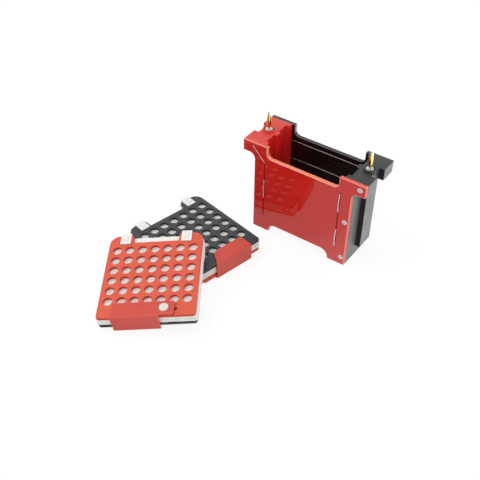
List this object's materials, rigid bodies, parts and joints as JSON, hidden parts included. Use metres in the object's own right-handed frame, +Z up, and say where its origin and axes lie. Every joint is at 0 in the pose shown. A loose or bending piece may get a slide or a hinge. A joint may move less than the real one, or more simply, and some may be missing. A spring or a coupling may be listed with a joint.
{
  "type": "gel electrophoresis transfer module with cassettes",
  "caption": "Red and black electrode module with banana plugs on top, open inside, beside gel cassettes of perforated sheets, foam pads, strap hinges and a swinging latch.",
  "frame": {"origin": "middle of the footprint of the whole set (electrode module and both cassettes) at bench level", "axes": "+Z up, +X along the electrode panels from the red end block to the black one, +Y from the red panel towards the black panel, away from the cassettes"},
  "size_m": [0.223, 0.275, 0.1295],
  "materials": {
    "red_acrylic": "clear gloss acrylic, deep red",
    "black_acrylic": "gloss acrylic, black",
    "red_plastic": "satin moulded",
    "black_plastic": "satin moulded",
    "white_plastic": "satin moulded",
    "nylon": "satin nylon",
    "foam": "open-cell foam",
    "platinum": "drawn wire",
    "nickel": "nickel plated",
    "gold": "gold plated"
  },
  "bodies": {
    "electrode_module": {"anode_plug_nut": "nickel", "anode_plug_pin": "nickel", "anode_plug_spring": "gold", "anode_wire": "platinum", "black_end_block": "black_plastic", "black_panel": "black_acrylic", "black_screw_low": "nylon", "black_screw_middle": "nylon", "black_screw_top": "nylon", "cathode_plug_nut": "nickel", "cathode_plug_pin": "nickel", "cathode_plug_spring": "gold", "cathode_wire": "platinum", "red_end_block": "red_plastic", "red_panel": "red_acrylic", "red_screw_low": "nylon", "red_screw_middle": "nylon", "red_screw_top": "nylon"},
    "rear_cassette": {"rear_black_leaf_left": "white_plastic", "rear_black_leaf_right": "white_plastic", "rear_black_sheet": "black_plastic", "rear_black_stud_left": "white_plastic", "rear_black_stud_right": "white_plastic", "rear_foam_black_side": "foam", "rear_foam_red_side": "foam", "rear_hinge_pin_left": "white_plastic", "rear_hinge_pin_right": "white_plastic", "rear_latch_rivet": "white_plastic", "rear_red_leaf_left": "white_plastic", "rear_red_leaf_right": "white_plastic", "rear_red_sheet": "red_plastic", "rear_red_stud_left": "white_plastic", "rear_red_stud_right": "white_plastic"},
    "rear_latch": {"rear_latch": "red_plastic"},
    "front_cassette": {"front_black_leaf_left": "white_plastic", "front_black_leaf_right": "white_plastic", "front_black_sheet": "black_plastic", "front_black_stud_left": "white_plastic", "front_black_stud_right": "white_plastic", "front_foam_black_side": "foam", "front_foam_red_side": "foam", "front_hinge_pin_left": "white_plastic", "front_hinge_pin_right": "white_plastic", "front_latch_rivet": "white_plastic", "front_red_leaf_left": "white_plastic", "front_red_leaf_right": "white_plastic", "front_red_sheet": "red_plastic", "front_red_stud_left": "white_plastic", "front_red_stud_right": "white_plastic"},
    "front_latch": {"front_latch": "red_plastic"}
  },
  "joints": [
    {"name": "rear_cassette_lift", "type": "slide", "parent": "electrode_module", "child": "rear_cassette", "axis": [0, 0, 1], "range_m": [0, 0.15]},
    {"name": "front_cassette_lift", "type": "slide", "parent": "rear_cassette", "child": "front_cassette", "axis": [0, 0, 1], "range_m": [0, 0.15]},
    {"name": "rear_latch_swing", "type": "hinge", "parent": "rear_cassette", "child": "rear_latch", "pos_m": [-0.00841, -0.01647, 0.002], "axis": [0.0168, -0.0038, -0.9999], "range_deg": [0, 60]},
    {"name": "front_latch_swing", "type": "hinge", "parent": "front_cassette", "child": "front_latch", "pos_m": [0.0017, -0.09716, 0.02667], "axis": [-0.05, -0.1696, 0.9842], "range_deg": [0, 60]}
  ]
}
